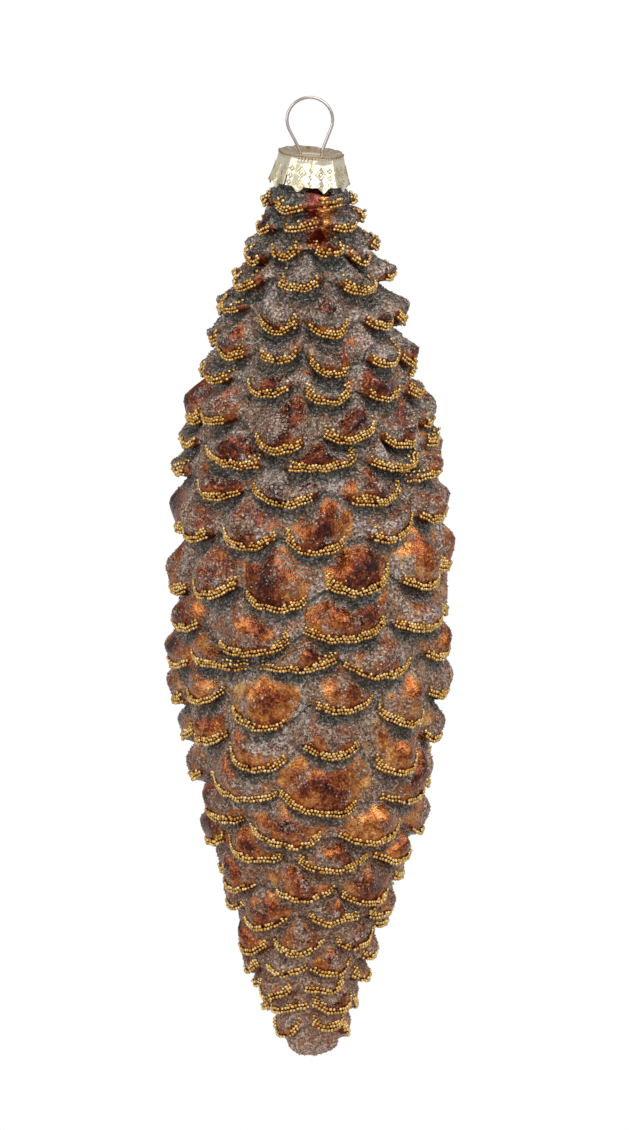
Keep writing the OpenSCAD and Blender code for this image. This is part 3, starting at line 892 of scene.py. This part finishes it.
# One crease between two facets lies just right of the front, a slit where two facets parted on the left
CREASE_TURN = math.radians(3)
SLIT_TURN = math.radians(-37.5)
# The slit starts this far down the skirt
SLIT_TOP = 0.45
# How far a point of the skirt reaches below the notch beside it, in mm
NOTCH = 1.1
# The stamped band repeats this often round the cap, with one column of large diamonds left of the front
STAMPS = 11
STAMP_TURN = math.radians(-15.5)
# Depths below the rim of the large and the small diamonds, in mm
LARGE_DIAMONDS = (2.9, 5.3)
SMALL_DIAMONDS = (2.3, 3.55, 4.8)


class CONE_OT_cap(bpy.types.Operator):
    """Stamp and crimp the cap: flared facets with points and notches, embossed diamonds and a dished top"""

    bl_idname = "cone.cap"
    bl_label = "Cap"

    def execute(self, context):
        settings = context.scene.cone_cap
        sizes = neck_sizes()
        low, high = (np.array(corner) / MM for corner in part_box(CAP_NODE))
        sheet = settings.sheet / MM
        top_z = sizes["rim"] + sheet + TOP_PLAY
        foot = (high[1] - low[1]) / 2
        form = {
            "facets": settings.facets,
            "neck": sizes["neck"] + sheet + WALL_PLAY,
            "foot": foot,
            "emboss": settings.emboss / MM,
            "height": top_z - low[2] - foot * sizes["tilt"] - 0.1,
        }
        rows = TOP_ROWS + SKIRT_ROWS
        bm = bmesh.new()
        tan = bm.verts.layers.float.new("tan")
        bmesh.ops.create_grid(bm, x_segments=FACET_COLUMNS * settings.facets, y_segments=rows, size=1)
        for vert in bm.verts:
            angle = (vert.co.x + 1) * math.pi
            row = round((1 - vert.co.y) / 2 * rows) - TOP_ROWS
            if row <= 0:
                vert.co, vert[tan] = cap_top(angle, 1 + row / TOP_ROWS, form)
            else:
                vert.co, vert[tan] = cap_skirt(angle, row / SKIRT_ROWS, form)
        bmesh.ops.remove_doubles(bm, verts=bm.verts, dist=0.0001)
        tear = [face for face in bm.faces if in_slit(face.calc_center_median(), form)]
        bmesh.ops.delete(bm, geom=tear, context="FACES")
        bmesh.ops.recalc_face_normals(bm, faces=bm.faces)
        bmesh.ops.rotate(
            bm, verts=bm.verts, cent=(0, 0, 0), matrix=Matrix.Rotation(math.atan(sizes["tilt"]), 3, "Y")
        )
        bmesh.ops.translate(bm, verts=bm.verts, vec=(sizes["axis"], 0, top_z))
        bmesh.ops.scale(bm, verts=bm.verts, vec=(MM, MM, MM))
        for face in bm.faces:
            face.smooth = True
        cap = new_piece("stamped_cap", bm, gold_lacquered_sheet(), "pale_gold_sheet", CAP_NODE)
        wall = cap.modifiers.new("sheet", "SOLIDIFY")
        wall.thickness = settings.sheet
        wall.offset = -1
        return {"FINISHED"}


def cap_top(angle, out, form):
    """A point of the cap's top in mm, out being 0 at its middle and 1 at its rim, and how much painted shade
    and reflection it takes.
    """
    r = out * form["neck"]
    fold = math.sin(23 * angle + 2 * math.sin(5 * angle)) * math.sin(7 * angle + 1)
    # A crumpled annulus slopes in to a shallow pan with a domed middle and a slot for the wire's legs
    slot = bell(r * math.cos(angle) + 0.2, 0.45, 4) * bell(r * math.sin(angle), 2.2, 4)
    z = 0.16 * ease((0.55 - out) / 0.2) - 0.55 * ease((0.94 - out) / 0.34) - 0.9 * slot
    pleat = ease(1 - abs(out - 0.85) / 0.2) * fold
    # The rolled rim is dented here and there
    rim = bell(out - 0.98, 0.04) * (0.13 * math.sin(9 * angle + 1) * math.sin(4 * angle) + 0.05 * fold)
    # Painted reflection and shade: the top is painted darker brown, more in its pleats and at its rim, less
    # on its dome, and most in the slot
    tan = 0.6 + 0.4 * pleat - 0.3 * ease((0.5 - out) / 0.15) + 0.5 * ease((out - 0.93) / 0.05)
    tan = min(tan, 1.1) + 3.5 * slot
    return Vector((r * math.sin(angle), -r * math.cos(angle), z + rim + 0.06 * pleat)), tan


def cap_skirt(angle, down, form):
    """A point of the cap's skirt in mm, down being 0 at the rim and 1 at its edge, and how much painted shade
    it takes.
    """
    step = math.tau / form["facets"]
    inside = ((angle - CREASE_TURN) % step) / step - 0.5
    round_r = form["neck"] + (form["foot"] - form["neck"]) * (0.85 * down + 0.15 * down ** 3)
    flat = math.cos(step / 2) / math.cos(inside * step)
    crimp = ease(down / 0.22)
    r = round_r * (1 - crimp + crimp * flat)
    # Fine pleats under the rolled rim, and a shallow groove along each crease between facets
    near_rim = ease(1 - down / 0.16)
    pleat = math.sin(7 * math.tau * (inside + 0.5)) * math.sin(3 * angle + 2)
    r += near_rim * (0.05 * pleat - 0.12) + 0.14 * bell(down - 0.015, 0.02)
    r -= 0.07 * bell(0.5 - abs(inside), 0.02) * crimp
    # Each facet ends in a point, with a flat-topped notch between two points
    notch = ease(abs(inside) / 0.27 + 0.08) * NOTCH
    z = -0.1 - (form["height"] - notch - 0.1) * down
    stamp = emboss(angle, -z, r)
    r += form["emboss"] * stamp
    # Painted shade: the pleats under the rim and the flanks of the stamped lines are painted darker brown
    tan = 0.8 * near_rim * max(0.15, 0.4 - pleat) + 0.85 * (0.15 < stamp < 0.75)
    return Vector((r * math.sin(angle), -r * math.cos(angle), z)), tan


def in_slit(point, form):
    """Whether a point of the skirt lies in the slit left where two facets part."""
    angle = math.atan2(point.x, -point.y)
    depth = -point.z / form["height"]
    return abs(angle - SLIT_TURN) * form["foot"] < 0.5 * (depth - 0.3) and depth > SLIT_TOP


def emboss(angle, depth, radius):
    """Height from 0 to 1 of the stamped band: large double diamonds, and a column of small ones between."""
    step = math.tau / STAMPS
    share = ((angle - STAMP_TURN) / step + 0.5) % 1 - 0.5
    across, aside = share * step * radius, (abs(share) - 0.5) * step * radius
    best = 0.0
    for middle in LARGE_DIAMONDS:
        away = abs(across) / 1.15 + abs(depth - middle) / 1.25
        best = max(best, 1 - abs(away - 0.86) / 0.16, 1 - abs(away - 0.36) / 0.16)
    for middle in SMALL_DIAMONDS:
        away = abs(aside) / 0.55 + abs(depth - middle) / 0.6
        best = max(best, 1 - abs(away - 0.66) / 0.3)
    return ease(best)


class CONE_OT_wire(bpy.types.Operator):
    """Plate the hanger: the CAD wire's round loop and sprung legs, with a thin bright coat"""

    bl_idname = "cone.wire"
    bl_label = "Wire hanger"

    def execute(self, context):
        bm = bmesh.new()
        bm.from_mesh(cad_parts[WIRE_NODE].data)
        weld(bm)
        bm.normal_update()
        for vert in bm.verts:
            vert.co += vert.normal * context.scene.cone_wire.plating
        new_piece("wire_hanger", bm, spring_steel(), "steel_wire", WIRE_NODE)
        return {"FINISHED"}


# The photograph's width and height, and where the top of the wire loop lies in it, in pixels
PHOTO_WIDTH, PHOTO_HEIGHT = 629, 1130
LOOP_X, LOOP_Y = 309, 98.7
# Softboxes: name, place from the bauble's middle and width in metres, and power in watts
LAMPS = (
    ("key", (0.9, -1.2, 1.0), 1.5, 16.5),
    ("fill", (-1.2, -1.0, 0.45), 1.1, 8),
    ("top", (0.1, -0.2, 1.5), 1.0, 6),
)
# How bright the surroundings are as light, and how much brighter in gloss
WORLD_LIGHT, WORLD_GLOSS = 0.27, 0.4
# Share of plain white in the floor as it is seen, while the rest keeps the bauble's shadow
FLOOR_WHITE = 0.9


def rays(add, first, *others):
    """1 for rays of the given kinds, else 0."""
    path = add("ShaderNodeLightPath").outputs
    found = path[f"Is {first} Ray"]
    for kind in others:
        found = add(MATH, found, path[f"Is {kind} Ray"], operation="MAXIMUM")
    return found


class CONE_OT_stage(bpy.types.Operator):
    """Set up the pale floor, the white surroundings, soft lamps and the camera at the photograph's angle"""

    bl_idname = "cone.stage"
    bl_label = "Stage"

    def execute(self, context):
        settings = context.scene.cone_stage
        self.floor(settings)
        self.lamps()
        self.camera(settings)
        self.world()
        context.scene.view_settings.view_transform = "Standard"
        return {"FINISHED"}

    def floor(self, settings):
        """A pale round floor under the hanging bauble, white to the camera but for the bauble's shadow."""
        bm = bmesh.new()
        bmesh.ops.create_circle(bm, cap_ends=True, segments=96, radius=settings.floor_radius)
        floor = new_object("floor", bm)
        floor.location.z = CAD_BOX[0].z - settings.floor_gap
        material, add, shader = new_material("white_paper_floor")
        feed(shader, Base_Color=linear("#f2f2f2"), Roughness=0.9)
        seen = rays(add, "Camera", "Transmission", "Glossy")
        seen = add(MATH, seen, FLOOR_WHITE, operation="MULTIPLY")
        lit = add("ShaderNodeMixShader", seen, shader, add("ShaderNodeEmission", Strength=1.0))
        # From below the floor is clear, so that the bauble's underside can be seen
        under = add("ShaderNodeNewGeometry").outputs["Backfacing"]
        both = add("ShaderNodeMixShader", under, lit, add("ShaderNodeBsdfTransparent"))
        feed(material.node_tree.nodes["Material Output"], Surface=both)
        floor.data.materials.append(material)

    def lamps(self):
        """Three large softboxes: the key to the right and above, a fill on the left, one over the bauble."""
        centre = (CAD_BOX[0] + CAD_BOX[1]) / 2
        for name, place, width, power in LAMPS:
            light = bpy.data.lights.new(name, "AREA")
            light.shape = "SQUARE"
            light.size = width
            light.energy = power
            lamp = new_object(name, light)
            lamp.location = centre + Vector(place)
            lamp.rotation_euler = (-Vector(place)).to_track_quat("-Z", "Y").to_euler()

    def camera(self, settings):
        """The photograph's camera: straight ahead, a little above, far off."""
        rise = math.radians(settings.elevation)
        back = Vector((0, -math.cos(rise), math.sin(rise)))
        up = Vector((0, math.sin(rise), math.cos(rise)))
        right = Vector((1, 0, 0))
        pixel = settings.pixel
        # The loop's top is at the origin, so the middle of the picture lies off it
        off = right * ((PHOTO_WIDTH / 2 - LOOP_X) * pixel) - up * ((PHOTO_HEIGHT / 2 - LOOP_Y) * pixel)
        lens = bpy.data.cameras.new("camera")
        lens.sensor_width = 36
        lens.lens = lens.sensor_width * settings.distance / (PHOTO_HEIGHT * pixel)
        lens.clip_start, lens.clip_end = 0.1, 40
        camera = new_object("camera", lens)
        camera.location = off + back * settings.distance
        camera.rotation_mode = "QUATERNION"
        camera.rotation_quaternion = (-back).to_track_quat("-Z", "Y")
        bpy.context.scene.camera = camera

    def world(self):
        """White to the camera and through glass, and a plain level of light from all round."""
        world = bpy.data.worlds.new("studio")
        bpy.context.scene.world = world
        world.use_nodes = True
        add = partial(add_node, world.node_tree)
        seen = rays(add, "Camera", "Transmission")
        level = add(MATH, seen, 1 - WORLD_LIGHT, WORLD_LIGHT, operation="MULTIPLY_ADD")
        level = add(MATH, rays(add, "Glossy"), WORLD_GLOSS, level, operation="MULTIPLY_ADD")
        feed(world.node_tree.nodes["Background"], Color=(1, 1, 1, 1), Strength=level)


class CONE_PT_panel(bpy.types.Panel):
    """The bauble's pieces in the 3D view's sidebar"""

    bl_idname = "CONE_PT_panel"
    bl_label = "Pine cone bauble"
    bl_space_type = "VIEW_3D"
    bl_region_type = "UI"
    bl_category = "Pine cone"

    def draw(self, context):
        for operator in OPERATORS:
            self.layout.operator(operator.bl_idname)
        for name, settings in SETTINGS.items():
            box = self.layout.box()
            for field in settings.__annotations__:
                box.prop(getattr(context.scene, name), field)


OPERATORS = (CONE_OT_stage, CONE_OT_glass, CONE_OT_beads, CONE_OT_frost, CONE_OT_cap, CONE_OT_wire)
CLASSES = (*SETTINGS.values(), *OPERATORS, CONE_PT_panel)


def register():
    for cls in CLASSES:
        bpy.utils.register_class(cls)
    for name, settings in SETTINGS.items():
        setattr(bpy.types.Scene, name, bpy.props.PointerProperty(type=settings))


def unregister():
    for name in SETTINGS:
        delattr(bpy.types.Scene, name)
    for cls in reversed(CLASSES):
        bpy.utils.unregister_class(cls)


def main():
    register()
    bpy.ops.cone.stage()
    bpy.ops.cone.glass()
    bpy.ops.cone.beads()
    bpy.ops.cone.frost()
    bpy.ops.cone.cap()
    bpy.ops.cone.wire()


if __name__ == "__main__":
    main()
